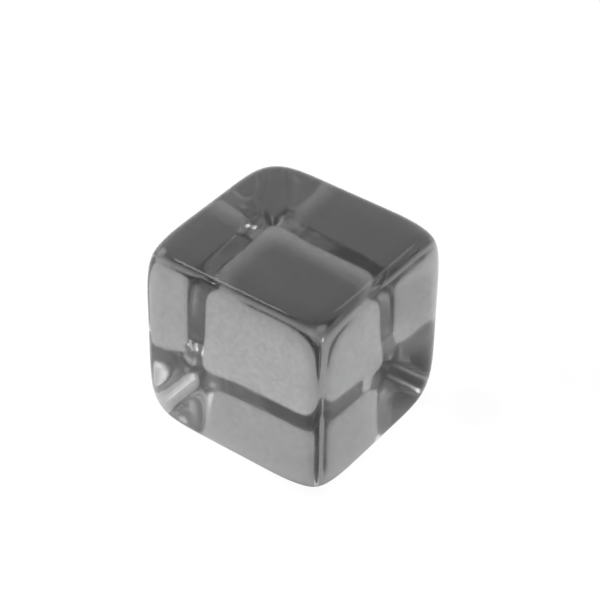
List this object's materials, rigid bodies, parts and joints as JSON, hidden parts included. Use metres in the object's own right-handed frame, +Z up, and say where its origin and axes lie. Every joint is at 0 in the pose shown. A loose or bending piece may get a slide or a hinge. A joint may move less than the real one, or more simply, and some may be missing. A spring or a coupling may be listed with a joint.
{
  "type": "clear tinted block",
  "caption": "Solid see-through smoke-grey block, nearly a cube, with flat polished faces, softly rounded edges and rounder corners. Stands or stacks on any face.",
  "frame": {"origin": "middle of the base, on the plane the block stands on", "axes": "+Z up, +X and +Y square to the side faces. Its faces are symmetric about the XZ, YZ and mid-height planes, and its edge rounding is slightly uneven: tightest about the front right edge, softest about the back bottom edge."},
  "size_m": [0.016, 0.0154, 0.0157],
  "materials": {
    "smoke_acrylic": "polished clear smoke-grey acrylic, tinted through its whole thickness"
  },
  "bodies": {
    "root": {"block": "smoke_acrylic"}
  },
  "joints": []
}
